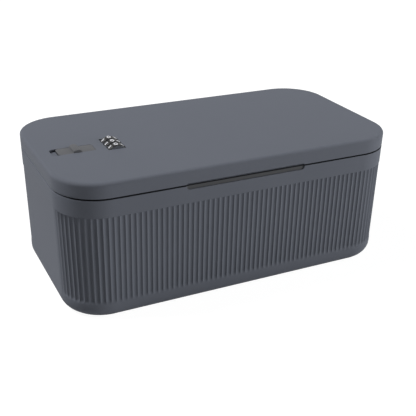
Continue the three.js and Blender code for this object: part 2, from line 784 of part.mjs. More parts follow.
function makeLockingFork() {
  const barLeft = tabRight + seatGap;
  const barRight = barLeft + forkBarWidth;
  const tip = dialX - discRadius - runGap;
  const tines = dialYs.map((y) => y + discOffset);
  const base = block(tabRight - forkBaseLength, barRight, lockOffset - stripHalfWidth,
    lockOffset + stripHalfWidth, forkBottom, forkTop);
  const bar = block(barLeft, barRight, tines[0] - forkSlim, tines[dialCount - 1] + forkSlim / 2,
    forkBottom, forkTop);
  const teeth = tines.map((y) =>
    block(barLeft, tip, y - forkSlim / 2, y + forkSlim / 2, forkBottom, forkTop));
  const holes = slideScrewSpots.map((x) =>
    prismXY(disc(x, lockOffset, screwHole, screwSides), forkBottom - overrun, forkTop + overrun));
  return cutBy(joined([base, bar, ...teeth]), holes);
}

function makeSlideScrews() {
  const headFoot = tabTop - stripThickness - seatGap - screwHeadHeight;
  return slideScrewSpots.map((x) => screwZ(x, lockOffset, headFoot, slideScrewTip));
}

// Code lever: a pad with a knob, and an arm that reaches the end of the first sleeve
function makeResetLever() {
  const padLeft = leverX - leverPadLength / 2;
  const padRight = leverX + leverPadLength / 2;
  const top = frameFoot + leverThickness;
  const postRight = dialX + leverPostLength / 2;
  const postTop = dialZ - axleRadius - runGap;
  const pad = block(padLeft, padRight, leverFront, leverFront + leverPadWidth, frameFoot, top);
  const arm = block(padLeft, postRight, leverFront, leverFront + leverArmWidth, frameFoot, top);
  const post = block(postRight - leverPostLength, postRight, leverFront, leverFront + leverArmWidth,
    frameFoot, postTop);
  const knob = prismXY(disc(leverX, knobY, knobRadius, screwSides),
    coverTop - coverThickness - knobDrop, frameFoot + leverThickness / 2);
  return joined([pad, arm, post, knob]);
}

addPiece(lockBox, 'box_body', makeBoxBody(), greyShell);
addPiece(lockBox, 'strike_keeper', makeStrikeKeeper(), darkInner);
addPiece(lockBox, 'hook_keeper', makeHookKeeper(), greyShell);
addCopies(lockBox, 'keeper_screw', makeKeeperScrews(), plainSteel);
addPiece(lid, 'lid_shell', makeLidShell(), greyShell);
addPiece(lid, 'hook_bracket', makeHookBracket(), darkInner);
addCopies(lid, 'hook_screw', makeHookScrews(), plainSteel);
addPiece(lid, 'lock_frame', makeLockFrame(), darkInner);
addPiece(lid, 'lock_cover', makeLockCover(), darkInner);
addCopies(lid, 'lock_screw', makeLockScrews(), plainSteel);
addPiece(lid, 'dial_axle', makeDialAxle(), plainSteel);
addCopies(lid, 'axle_clip', makeAxleClips(), plainSteel);
addPiece(lid, 'detent_spring', makeDetentSpring(), plainSteel);
addPiece(lid, 'reset_lever', makeResetLever(), paleSleeve);
addPiece(slider, 'slide_button', makeSlideButton(), greySlider);
addPiece(slider, 'latch_bolt', makeLatchBolt(), plainSteel);
addPiece(slider, 'locking_fork', makeLockingFork(), plainSteel);
addCopies(slider, 'slide_screw', makeSlideScrews(), plainSteel);
addCopies(lid, 'number_dial', dialYs.map(makeNumberDial), blackDial);
addCopies(lid, 'code_sleeve', dialYs.map(makeCodeSleeve), paleSleeve);

export default lockBox;
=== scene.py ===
"""A medication lock box: a fluted box, a lift-off lid, a thumb slider and three number dials."""

import math

import bmesh
import bpy
import numpy as np
from bpy.props import FloatProperty, FloatVectorProperty, IntProperty, PointerProperty
from mathutils import Matrix, Vector


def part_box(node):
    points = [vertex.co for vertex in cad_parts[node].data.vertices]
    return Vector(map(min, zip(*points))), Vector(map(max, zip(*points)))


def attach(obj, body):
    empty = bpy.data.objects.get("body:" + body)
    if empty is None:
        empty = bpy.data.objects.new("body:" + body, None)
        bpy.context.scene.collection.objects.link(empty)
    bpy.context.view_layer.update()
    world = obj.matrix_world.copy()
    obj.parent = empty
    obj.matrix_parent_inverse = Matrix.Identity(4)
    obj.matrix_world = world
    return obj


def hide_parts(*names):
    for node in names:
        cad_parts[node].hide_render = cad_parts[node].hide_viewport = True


bl_info = {
    "name": "Medication Lock Box",
    "version": (1, 0, 0),
    "blender": (4, 5, 0),
    "location": "View3D > Sidebar > Lock Box",
    "description": "Builds a fluted box with a lift-off lid, a thumb slider and number dials",
    "category": "Object",
}

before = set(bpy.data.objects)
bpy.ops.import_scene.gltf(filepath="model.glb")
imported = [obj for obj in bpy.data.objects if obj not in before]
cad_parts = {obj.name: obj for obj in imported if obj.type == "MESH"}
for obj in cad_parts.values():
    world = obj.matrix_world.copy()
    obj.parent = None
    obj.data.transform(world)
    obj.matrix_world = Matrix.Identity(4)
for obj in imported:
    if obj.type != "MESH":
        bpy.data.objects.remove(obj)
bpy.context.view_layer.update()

LID_LOW, LID_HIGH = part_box("lid_shell")
BOX_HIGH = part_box("box_body")[1]
SLIDER_LOW, SLIDER_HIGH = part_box("slide_button")
DIAL_NODES = ("number_dial_1", "number_dial_2", "number_dial_3")
DIAL_BODIES = ("dial_1", "dial_2", "dial_3")
STEEL_NODES = (
    "keeper_screw_1", "keeper_screw_2", "keeper_screw_3", "keeper_screw_4",
    "hook_screw_1", "hook_screw_2", "hook_screw_3",
    "lock_screw_1", "lock_screw_2", "lock_screw_3", "lock_screw_4",
    "slide_screw_1", "slide_screw_2",
    "dial_axle", "axle_clip_1", "axle_clip_2", "detent_spring", "latch_bolt", "locking_fork",
)
DARK_NODES = ("strike_keeper", "hook_bracket", "lock_frame", "lock_cover")
PALE_NODES = ("code_sleeve_1", "code_sleeve_2", "code_sleeve_3", "reset_lever")

DIGITS = 10
WHITE = (1, 1, 1, 1)
CRISP_ANGLE = math.radians(32)
# Steps of quarter circles, of both plans and of round shapes, and rings of the walls
EDGE_STEPS, ROUND_STEPS, FILLET_STEPS = 3, 4, 8
FLUTE_STEPS, BOX_END_STEPS = 8, 24
LID_CORNER_STEPS, LID_SIDE_STEPS, LID_END_STEPS = 20, 8, 6
DIAL_STEPS, RIDGE_STEPS, WINDOW_STEPS, BOSS_STEPS, HOLE_STEPS = 240, 32, 96, 32, 24
RUNOUT_RINGS, WALL_RINGS, SKIRT_RINGS = 7, 6, 5
# A flute's upper end: share of its depth at each share of the way up the edge
FLUTE_END = ((1.0, 0.0), (0.92, 0.5), (0.7, 0.8), (0.35, 0.95), (0.0, 1.0))
# Rings about the recess's lower edge, in edge radii
RECESS_RINGS = (-1.5, -0.6, 0.3, 1.2, 2.4, 4.5)
# Rings of a dial's end face, as shares of the way from its bore to its rim
FACE_RINGS = (0.0, 0.35, 0.7)
# How much of a direction lies along an axis that it counts as facing
SQUARE_ON, NEARLY_SQUARE, MOSTLY_UP = 0.9999, 0.95, 0.9
# Height of a digit as a share of its type size, and strips that it is cut into so that it can bend
DIGIT_SHARE, DIGIT_STRIPS = 0.7, 8
MERGE_DISTANCE = 0.000001

# Colour, roughness, bump strength and distance, and specular level of each plastic and paint
PLASTICS = {
    "shell_finish": ("shell", 0.58, 0.10, 0.00006, 0.035),
    "slider_finish": ("slider", 0.55, 0.10, 0.00006, 0.035),
    # The inner plastic also paints shade on the slider's faces below its plate
    "inner_plastic_and_slider_shade": ("inner", 0.60, 0.15, 0.00008, 0.30),
    "dial_finish": ("dial", 0.38, 0.06, 0.00004, 0.25),
    "dial_face_finish": ("dial_face", 0.55, 0.10, 0.00006, 0.035),
    "number_paint": ("number", 0.50, 0.10, 0.00003, 0.30),
    "sleeve_finish": ("sleeve", 0.48, 0.10, 0.00006, 0.40),
}
STEEL_BUMP = (0.12, 0.00004)
# Noise detail of cloud and grain, range of their sum, and swing of the roughness
CLOUD_DETAIL, GRAIN_DETAIL, GRAIN_RANGE, ROUGHNESS_SWING = 3.0, 2.0, (0.75, 1.25), 0.05
# Stretch of the steel's streaks, their noise detail and the range of its roughness
STREAK_STRETCH, STREAK_DETAIL, STEEL_ROUGHNESS = (0.06, 1.0, 1.0), 4.0, (0.24, 0.46)


def metres(name, description, default):
    """A size in metres."""
    return FloatProperty(name=name, description=description, default=default, unit="LENGTH", precision=5)


def degrees(name, description, default):
    """An angle, given and shown in degrees and kept in radians."""
    return FloatProperty(
        name=name, description=description, default=math.radians(default),
        subtype="ANGLE", unit="ROTATION",
    )


def number(name, description, default):
    """A plain number."""
    return FloatProperty(name=name, description=description, default=default)


def tone(name, description, default):
    """A linear colour."""
    return FloatVectorProperty(
        name=name, description=description, default=default, subtype="COLOR", size=3, min=0, max=1
    )


class LockBoxSizes(bpy.types.PropertyGroup):
    """Sizes of the moulded box and lid."""

    length: metres("Length", "Length at the lid's top edge", 0.300)
    width: metres("Width", "Width at the lid's top edge", 0.164)
    height: metres("Height", "Height of the lid's top over the floor", LID_HIGH.z)
    corner_radius: metres("Corner radius", "Radius of the plan's corners", 0.0372)
    foot_inset: metres("Taper", "How far the wall stands in at the foot", 0.002)
    foot_fillet: metres("Foot fillet", "Radius of the box's lower edge", 0.0112)
    wall: metres("Wall", "Thickness of the box's wall", 0.0032)
    floor: metres("Floor", "Thickness of the box's floor", 0.003)
    inner_fillet: metres("Inner fillet", "Radius between floor and wall inside", 0.008)
    rim_height: metres("Rim height", "Height of the outer rim", 0.1052)
    rim_step: metres("Rim step", "Width of the ledge outside the lip", 0.0017)
    lip_height: metres("Lip height", "Height of the inner lip", BOX_HIGH.z)
    edge_round: metres("Edge round", "Radius of small moulded edges", 0.0003)
    flute_count: IntProperty(name="Flutes", description="Flutes on each long side", default=77, min=1)
    flute_depth: metres("Flute depth", "Depth of a flute below its ridges", 0.0009)
    flute_sink: metres("Flute sink", "Depth of the ridges below the plain band", 0.0003)
    flute_foot: metres("Flute foot", "Height where the flutes run out below", 0.016)
    flute_top: metres("Flute top", "Height where the flutes end above", 0.0905)
    flute_runout: metres("Flute run-out", "Length of the run-out below", 0.004)
    flute_fade: metres("Flute fade", "Length over which the flutes die out", 0.014)
    recess_length: metres("Recess length", "Length of the finger recess", 0.106)
    recess_drop: metres("Recess drop", "Height of the finger recess below the rim", 0.003)
    recess_depth: metres("Recess depth", "How far the finger recess goes in", 0.001)
    recess_round: metres("Recess corner", "Corner radius of the finger recess", 0.0024)
    lid_edge: metres("Lid edge", "Height of the lid's lower edge", 0.1063)
    lid_fillet: metres("Lid fillet", "Radius of the lid's upper edge", 0.0028)
    lid_underside: metres("Lid underside", "Height of the lid's underside", 0.116)
    lid_relief: metres("Lid relief", "How far the lid's edge is raised over the recess", 0.001)
    skirt: metres("Skirt", "Thickness of the lid's skirt at its end rooms", 0.003)
    rib_inset: metres("Rib inset", "Distance of the inner rib from the outside", 0.0036)
    rib_thickness: metres("Rib thickness", "Thickness of the inner rib", 0.0016)
    rib_foot: metres("Rib foot", "Height of the inner rib's lower edge", LID_LOW.z)
    boss_radius: metres("Boss radius", "Radius of the bosses for the lock's screws", 0.0023)
    boss_height: metres("Boss height", "Height of the bosses for the lock's screws", 0.0024)
    screw_hole: metres("Screw hole", "Radius of the lid's screw holes", 0.0015)
    hole_depth: metres("Hole depth", "Depth of the lid's screw holes", 0.0013)
    strike_room: metres("Strike room", "Room in the inner rib beside the strike", 0.005)
    hook_room: metres("Hook room", "Room in the inner rib beside the hook bar", 0.0004)


class LockSizes(bpy.types.PropertyGroup):
    """Sizes of the slider, its slot and the dials."""

    lock_offset: metres("Lock offset", "Place of the slider across the lid", -0.0073)
    slot_left: metres("Slot start", "Left end of the slider's slot", -0.1384)
    slot_right: metres("Slot end", "Right end of the slider's slot", -0.1025)
    slot_width: metres("Slot width", "Width of the slider's slot", 0.0144)
    slot_corner: metres("Slot corner", "Corner radius of the slot", 0.0026)
    slot_chamfer: metres("Slot chamfer", "Chamfer along the slot's upper edge", 0.0001)
    travel: metres("Travel", "How far the slider moves", 0.005)
    play: metres("Play", "Gap round the slider", 0.0001)
    button_top: metres("Button top", "Height of the slider's plate", 0.1189)
    button_round: metres("Button round", "Radius along the plate's upper edge", 0.0002)
    flange_start: metres("Flange start", "Height of the flange's foot over the plate's", 0.00001)
    flange_drop: metres("Flange drop", "Depth of the flange's top below the lid's top", 0.0022)
    ridge_width: metres("Ridge width", "Width of the thumb ridge along the slider", 0.0068)
    ridge_power: number("Ridge power", "Exponent of the dome: 2 is an ellipse", 2.4)
    dial_radius: metres("Dial radius", "Radius of a dial", 0.009)
    dial_turn: degrees("Dial turn", "Turn of the dials towards the slider", 3)
    dial_width: metres("Dial width", "Width of a dial along its axle", 0.007)
    dial_bore: metres("Dial bore", "Radius of the hole in a dial", 0.0039)
    dial_round: metres("Dial round", "Radius along a dial's rim", 0.001)
    groove_depth: metres("Groove depth", "Depth of the grooves between numbers", 0.0006)
    groove_share: number("Groove share", "Share of a number's field taken by a groove", 0.26)
    window_gap: metres("Window gap", "Gap between the dials' treads and the window", 0.0005)
    window_shift: metres("Window shift", "Shift of the window towards the slider", 0.00025)
    tongue_gap: metres("Tongue gap", "Gap between the dials' faces and the lid", 0.0004)
    number_height: metres("Number height", "Height of a number on a dial", 0.003)
    number_stretch: number("Number stretch", "Widening of the numbers along the axle", 2.3)
    number_weight: metres("Number weight", "Thickening of the numbers' strokes", 0.0001)
    number_rise: metres("Number rise", "How far the numbers stand out of a dial", 0.00006)


class LockBoxColours(bpy.types.PropertyGroup):
    """Colours of the finishes."""

    shell: tone("Shell", "Blue-grey plastic of box and lid", (0.133, 0.144, 0.171))
    shell_pale: tone("Shell, pale", "Paler cloud in the same plastic", (0.142, 0.153, 0.181))
    # Painted shadow: a dark tone on the ledge under the lid's edge, standing in for the lid's shade in the
    # gap
    seam: tone("Seam", "Grime on the ledge under the lid's edge", (0.020, 0.021, 0.024))
    # Painted shade: a darker tone in the finger recess, standing in for the shade under the lid's edge
    recess: tone("Recess", "Handled plastic of the finger recess", (0.088, 0.090, 0.095))
    slider: tone("Slider", "Neutral grey plastic of the slider", (0.124, 0.127, 0.135))
    slider_pale: tone("Slider, pale", "Paler cloud in the same plastic", (0.134, 0.136, 0.143))
    # Also painted shade on the slider's faces below its plate, where the slot shades them
    inner: tone("Inner plastic", "Dark plastic of the hidden mouldings", (0.042, 0.044, 0.050))
    inner_pale: tone("Inner plastic, pale", "Paler cloud in the same plastic", (0.052, 0.054, 0.060))
    dial: tone("Dial", "Black plastic of the dials", (0.006, 0.006, 0.007))
    dial_pale: tone("Dial, pale", "Worn tone of the same plastic", (0.012, 0.012, 0.013))
    dial_face: tone("Dial face", "Grey plastic of the dials' end faces", (0.120, 0.130, 0.150))
    dial_face_pale: tone("Dial face, pale", "Paler cloud in the same plastic", (0.132, 0.142, 0.162))
    number: tone("Numbers", "White paint of the numbers", (0.78, 0.79, 0.83))
    number_pale: tone("Numbers, worn", "Duller tone of the same paint", (0.68, 0.69, 0.73))
    sleeve: tone("Sleeve", "Pale plastic of the code sleeves", (0.46, 0.44, 0.39))
    sleeve_pale: tone("Sleeve, pale", "Paler cloud in the same plastic", (0.50, 0.48, 0.43))
    steel: tone("Steel", "Plain steel of pins, screws and strips", (0.40, 0.41, 0.43))
    steel_pale: tone("Steel, pale", "Brighter streaks in the same steel", (0.52, 0.53, 0.55))
    floor: tone("Floor", "What the floor adds where the lamps reach it", (0.20, 0.20, 0.20))


class LockBoxStage(bpy.types.PropertyGroup):
    """Camera and light."""

    azimuth: degrees("Azimuth", "Turn of the camera about the box", -26.1231)
    elevation: degrees("Elevation", "Height of the camera's view", 25.3201)
    roll: degrees("Roll", "Turn of the camera about its own view", 1.0391)
    distance: metres("Distance", "From the camera to its target", 0.722619)
    target: FloatVectorProperty(
        name="Target", description="Point that the camera looks at", size=3, precision=6,
        default=(0.00944727, 0.0082647, 0.0359382), subtype="TRANSLATION", unit="LENGTH",
    )
    lens: FloatProperty(name="Lens", description="Focal length", default=67.009, unit="CAMERA", precision=4)
    sensor: FloatProperty(name="Sensor", description="Width of the sensor", default=36.0, unit="CAMERA")
    ambient: number("Ambient", "Level of the light from all round", 0.06)
    bounce: number("Bounce", "Share of light that the floor sends back", 0.5)
    glow: number("Glow", "Level of the floor's own white", 0.95)
    floor_size: metres("Floor size", "Half the side of the floor", 12.0)


def node_middle(name):
    """Middle of a CAD node's box."""
    return [(low + high) / 2 for low, high in zip(*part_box(name))]


def taper_at(sizes, z):
    """How far the wall stands in at height z: the taper, falling evenly to nothing at the lid's top."""
    return sizes.foot_inset * (1 - z / sizes.height)


def corner_arc(sizes):
    """Radius at which lengths are measured round a corner: the wall at the flutes' mid-height."""
    return sizes.corner_radius - taper_at(sizes, (sizes.flute_foot + sizes.flute_top) / 2)


def side_lengths(sizes):
    """Half the straight part of a long side, and the length of the quarter corner beside it."""
    return sizes.length / 2 - sizes.corner_radius, corner_arc(sizes) * math.pi / 2


def flute_stations(sizes):
    """Lengths along a long side and its two quarter corners, evenly divided into the flutes' steps."""
    reach = sum(side_lengths(sizes))
    return np.linspace(-reach, reach, sizes.flute_count * FLUTE_STEPS + 1)


def plain_stations(sizes):
    """Lengths along a long side and its two quarter corners, with even steps on each."""
    straight, quarter = side_lengths(sizes)
    bend = np.linspace(0, quarter, LID_CORNER_STEPS + 1)[1:]
    side = np.linspace(-straight, straight, LID_SIDE_STEPS + 1)
    return np.concatenate([-straight - bend[::-1], side, straight + bend])


def plan_columns(sizes, stations, end_steps):
    """Columns round the plan, anticlockwise from above. Each has a foot on the rectangle of corner centres
    and an outward direction, so that foot + direction * (corner radius - inset) lies that inset in from the
    outside. stations are lengths along a long side from its middle: past the straight they turn round the
    corner."""
    straight = side_lengths(sizes)[0]
    side = sizes.width / 2 - sizes.corner_radius
    turn = np.clip(np.abs(stations) - straight, 0, None) / corner_arc(sizes)
    along = np.clip(stations, -straight, straight)
    front_foot = np.stack([along, np.full_like(along, -side)], axis=-1)
    front_out = np.stack([np.sign(stations) * np.sin(turn), -np.cos(turn)], axis=-1)
    across = np.linspace(-side, side, end_steps + 1)[1:-1]
    end_foot = np.stack([np.full_like(across, straight), across], axis=-1)
    end_out = np.tile([1.0, 0.0], (len(across), 1))
    foot = np.concatenate([front_foot, end_foot])
    out = np.concatenate([front_out, end_out])
    return np.concatenate([foot, -foot]), np.concatenate([out, -out])


def plan_rings(sizes, columns, insets, heights):
    """Rings at the given heights, each column moved in by its inset."""
    foot, out = columns
    flat = foot[None] + out[None] * (sizes.corner_radius - insets)[..., None]
    levels = np.broadcast_to(heights[:, None, None], flat.shape[:2] + (1,))
    return np.concatenate([flat, levels], axis=-1)


def place_object(name, data):
    """A new object at the origin, in the scene."""
    holder = bpy.data.objects.new(name, data)
    bpy.context.scene.collection.objects.link(holder)
    return holder


def shade(mesh):
    """Smooth shading that stops at crisp edges."""
    mesh.shade_smooth()
    mesh.set_sharp_from_angle(angle=CRISP_ANGLE)
    mesh.update()


def new_object(name, vertices, faces):
    """A mesh object, smooth but for its crisp edges."""
    mesh = bpy.data.meshes.new(name)
    mesh.from_pydata(vertices, [], faces)
    mesh.validate()
    shade(mesh)
    return place_object(name, mesh)


def ring_faces(rows, columns, closed):
    """Quads between neighbouring rings. A closed skin also joins its last ring to its first."""
    index = np.arange(rows * columns).reshape(rows, columns)
    following = np.roll(index, -1, axis=0) if closed else index[1:]
    here = index if closed else index[:-1]
    quads = [here, np.roll(here, -1, axis=1), np.roll(following, -1, axis=1), following]
    return np.stack(quads, axis=-1).reshape(-1, 4).tolist()


def domed_skin(name, rings, first_pole, last_pole):
    """A closed surface through rings, with a fan to a pole before the first ring and after the last."""
    rows, columns = rings.shape[:2]
    vertices = rings.reshape(-1, 3).tolist() + [list(first_pole), list(last_pole)]
    ring = np.arange(columns)
    following = np.roll(ring, -1)
    last = (rows - 1) * columns
    first_fan = np.stack([np.full(columns, rows * columns), following, ring], axis=-1)
    last_fan = np.stack([last + ring, last + following, np.full(columns, rows * columns + 1)], axis=-1)
    faces = ring_faces(rows, columns, False) + first_fan.tolist() + last_fan.tolist()
    return new_object(name, vertices, faces)


def tyre_skin(name, rings):
    """A closed surface through rings whose last joins the first, as on a wheel with a bore."""
    rows, columns = rings.shape[:2]
    return new_object(name, rings.reshape(-1, 3).tolist(), ring_faces(rows, columns, True))


def ramp(value, low, high):
    """Smooth step: nothing below low, one above high, 3t^2 - 2t^3 between."""
    share = np.clip((value - low) / (high - low), 0, 1)
    return share * share * (3 - 2 * share)


def quarter_round(radius, steps):
    """Steps of a quarter circle: how far in and how far along, from one flat to the next."""
    angle = np.linspace(0, math.pi / 2, steps + 1)
    return radius * (1 - np.sin(angle)), radius * (1 - np.cos(angle))


def rows_of(*columns):
    """Rows of a profile from its columns. A single value stands in every row."""
    return np.column_stack(np.broadcast_arrays(*columns))


def rounded_outline(left, right, low, high, radius, steps=6):
    """Corners of a rounded rectangle, anticlockwise, as an array of two columns."""
    angle = np.linspace(0, math.pi / 2, steps + 1)
    turned = np.stack([np.cos(angle), np.sin(angle)], axis=-1) * radius
    quarter = np.array([[0.0, -1.0], [1.0, 0.0]])
    centres = (
        (right - radius, high - radius), (left + radius, high - radius),
        (left + radius, low + radius), (right - radius, low + radius),
    )
    parts = []
    for centre in centres:
        parts.append(turned + np.array(centre))
        turned = turned @ quarter.T
    return np.concatenate(parts)


def grown_outlines(edges, corner, grows):
    """Outlines of one rounded rectangle, each moved out on all sides by its own amount."""
    left, right, low, high = edges
    return [
        rounded_outline(left - grow, right + grow, low - grow, high + grow, corner + grow)
        for grow in grows
    ]


def round_outline(x, y, radius, sides):
    """Corners of a circle, anticlockwise."""
    angle = np.arange(sides) * 2 * math.pi / sides
    return np.stack([x + radius * np.cos(angle), y + radius * np.sin(angle)], axis=-1)


def prism(outlines, heights, plane="XY"):
    """Vertices and faces of a closed prism: one outline for each height, capped flat at both ends. The plane
    says which two axes the outline is drawn in. Heights run along the third."""
    rows, count = len(outlines), len(outlines[0])
    flat = np.stack([rows_of(*ring.T, z) for ring, z in zip(outlines, heights)])
    if plane == "XZ":
        flat = np.stack([flat[..., 0], -flat[..., 2], flat[..., 1]], axis=-1)
    faces = ring_faces(rows, count, False)
    faces += [list(range(count))[::-1], list(range((rows - 1) * count, rows * count))]
    return flat.reshape(-1, 3).tolist(), faces


def straight_prism(outline, low, high, plane="XY"):
    """A prism with one outline at both ends. In the XZ plane it runs along Y from low to high."""
    heights = (-high, -low) if plane == "XZ" else (low, high)
    return prism([outline, outline], heights, plane)


def joined_shapes(name, shapes):
    """One object of several separate closed shapes."""
    vertices, faces = [], []
    for points, corners in shapes:
        shift = len(vertices)
        vertices += points
        faces += [[shift + corner for corner in face] for face in corners]
    return new_object(name, vertices, faces)


def combine(piece, operation, *shapes):
    """Joins closed shapes to a piece or cuts them out of it, and keeps the result as plain mesh."""
    tool = joined_shapes("tool", shapes)
    modifier = piece.modifiers.new(operation.lower(), "BOOLEAN")
    modifier.operation = operation
    modifier.solver = "EXACT"
    modifier.object = tool
    evaluated = piece.evaluated_get(bpy.context.evaluated_depsgraph_get())
    mesh = bpy.data.meshes.new_from_object(evaluated)
    piece.modifiers.clear()
    spent = (piece.data, tool.data)
    piece.data = mesh
    mesh.name = spent[0].name
    bpy.data.objects.remove(tool)
    for old in spent:
        bpy.data.meshes.remove(old)
    shade(mesh)


def finish_piece(piece, body, slot_name, material_name, *nodes):
    """Gives a piece its material and its body, and hides the CAD nodes that it stands for. The slot name is
    not used.
    """
    piece.data.materials.clear()
    piece.data.materials.append(finish(material_name))
    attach(piece, body)
    if nodes:
        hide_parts(*nodes)


def second_finish(piece, material_name, chosen):
    """Gives the faces that chosen picks, by their middles and normals, another material."""
    polygons = piece.data.polygons
    middles = np.empty(len(polygons) * 3)
    normals = np.empty(len(polygons) * 3)
    slots = np.empty(len(polygons), dtype=np.int32)
    polygons.foreach_get("center", middles)
    polygons.foreach_get("normal", normals)
    polygons.foreach_get("material_index", slots)
    picked = chosen(middles.reshape(-1, 3), normals.reshape(-1, 3))
    slots[picked] = len(piece.data.materials)
    piece.data.materials.append(finish(material_name))
    polygons.foreach_set("material_index", slots)


def set_inputs(tree, node, inputs):
    """Gives a node's inputs their values or links."""
    for key, value in inputs.items():
        if isinstance(value, bpy.types.NodeSocket):
            tree.links.new(value, node.inputs[key])
        else:
            node.inputs[key].default_value = value


def add_node(tree, kind, inputs=None, **settings):
    """A node with its settings and its input values or links."""
    node = tree.nodes.new(kind)
    for key, value in settings.items():
        setattr(node, key, value)
    set_inputs(tree, node, inputs or {})
    return node


def calculate(tree, operation, *values):
    """The result of a sum, product or the like."""
    return add_node(tree, "ShaderNodeMath", dict(enumerate(values)), operation=operation).outputs[0]


def map_range(tree, value, low, high, to_low=0.0, to_high=1.0, **settings):
    """A value carried over from one range to another."""
    inputs = {"Value": value, "From Min": low, "From Max": high, "To Min": to_low, "To Max": to_high}
    return add_node(tree, "ShaderNodeMapRange", inputs, **settings).outputs["Result"]


def mix_colours(tree, share, first, second):
    """The mix of two colours: the first where the share is nothing, the second where it is one."""
    return add_node(tree, "ShaderNodeMix", {0: share, 6: first, 7: second}, data_type="RGBA").outputs[2]


def add_noise(tree, place, scale, detail):
    """The value of a noise at a place."""
    inputs = {"Vector": place, "Scale": scale, "Detail": detail}
    return add_node(tree, "ShaderNodeTexNoise", inputs).outputs["Fac"]


def new_group(name, inputs):
    """A shader node group with its named inputs and results, and the Object coordinates that it reads."""
    group = bpy.data.node_groups.new(name, "ShaderNodeTree")
    for key, value in inputs.items():
        kind = "NodeSocketFloat" if isinstance(value, float) else "NodeSocketColor"
        group.interface.new_socket(name=key, in_out="INPUT", socket_type=kind).default_value = value
    results = {"Colour": "NodeSocketColor", "Roughness": "NodeSocketFloat", "Height": "NodeSocketFloat"}
    for key, kind in results.items():
        group.interface.new_socket(name=key, in_out="OUTPUT", socket_type=kind)
    given = add_node(group, "NodeGroupInput").outputs
    return group, given, add_node(group, "ShaderNodeTexCoord").outputs["Object"]


def end_group(group, given, share, roughness, height):
    """Joins up a group's results: its two tones mixed by the share, the roughness and the height."""
    colour = mix_colours(group, share, given["Tone"], given["Pale tone"])
    add_node(group, "NodeGroupOutput", {"Colour": colour, "Roughness": roughness, "Height": height})
    return group


def moulded_grain_group():
    """Moulded plastic: a slow cloud and a fine spark grain, whose sum mixes the two tones. The grain is the
    height, and the roughness follows the cloud."""
    inputs = {
        "Tone": (0.1, 0.1, 0.1, 1), "Pale tone": (0.12, 0.12, 0.12, 1),
        "Cloud scale": 14.0, "Grain scale": 1900.0, "Roughness": 0.55,
    }
    group, given, place = new_group("moulded_grain", inputs)
    cloud = add_noise(group, place, given["Cloud scale"], CLOUD_DETAIL)
    grain = add_noise(group, place, given["Grain scale"], GRAIN_DETAIL)
    share = map_range(group, calculate(group, "ADD", cloud, grain), *GRAIN_RANGE)
    swing = map_range(group, cloud, 0.0, 1.0, -ROUGHNESS_SWING, ROUGHNESS_SWING)
    return end_group(group, given, share, calculate(group, "ADD", given["Roughness"], swing), grain)


def rolled_steel_group():
    """Rolled steel: long fine streaks along X between two tones, in the roughness and in the height."""
    inputs = {"Tone": (0.4, 0.4, 0.4, 1), "Pale tone": (0.5, 0.5, 0.5, 1), "Streak scale": 900.0}
    group, given, place = new_group("rolled_steel", inputs)
    stretched = add_node(group, "ShaderNodeMapping", {"Vector": place, "Scale": STREAK_STRETCH})
    streak = add_noise(group, stretched.outputs["Vector"], given["Streak scale"], STREAK_DETAIL)
    roughness = map_range(group, streak, 0.0, 1.0, *STEEL_ROUGHNESS)
    return end_group(group, given, streak, roughness, streak)


def surface_material(name, group, values, bump, plain):
    """A material whose shader takes colour, roughness and bump from a group, and its plain values as given.
    """
    material = bpy.data.materials.new(name)
    material.use_nodes = True
    tree = material.node_tree
    effect = add_node(tree, "ShaderNodeGroup", values, node_tree=group).outputs
    strength, distance = bump
    raised = add_node(
        tree, "ShaderNodeBump", {"Height": effect["Height"], "Strength": strength, "Distance": distance}
    )
    inputs = {
        "Base Color": effect["Colour"], "Roughness": effect["Roughness"],
        "Normal": raised.outputs["Normal"], **plain,
    }
    set_inputs(tree, tree.nodes["Principled BSDF"], inputs)
    return material


def opaque(colour):
    """A colour with full opacity."""
    return (*colour, 1.0)


def finish(name):
    """The material of that name, made the first time that it is asked for."""
    if name in bpy.data.materials:
        return bpy.data.materials[name]
    scene = bpy.context.scene
    colours = scene.lock_box_colours
    # The shell's plastic with painted shade in the seam and in the finger recess
    if name == "box_finish":
        material = finish("shell_finish").copy()
        material.name = name
        darken_seam(material, scene.lock_box_sizes, colours)
        return material
    if name == "steel_finish":
        group = bpy.data.node_groups.get("rolled_steel") or rolled_steel_group()
        values = {"Tone": opaque(colours.steel), "Pale tone": opaque(colours.steel_pale)}
        return surface_material(name, group, values, STEEL_BUMP, {"Metallic": 1.0})
    group = bpy.data.node_groups.get("moulded_grain") or moulded_grain_group()
    colour, roughness, strength, distance, specular = PLASTICS[name]
    values = {
        "Tone": opaque(getattr(colours, colour)),
        "Pale tone": opaque(getattr(colours, colour + "_pale")),
        "Roughness": roughness,
    }
    return surface_material(name, group, values, (strength, distance), {"Specular IOR Level": specular})


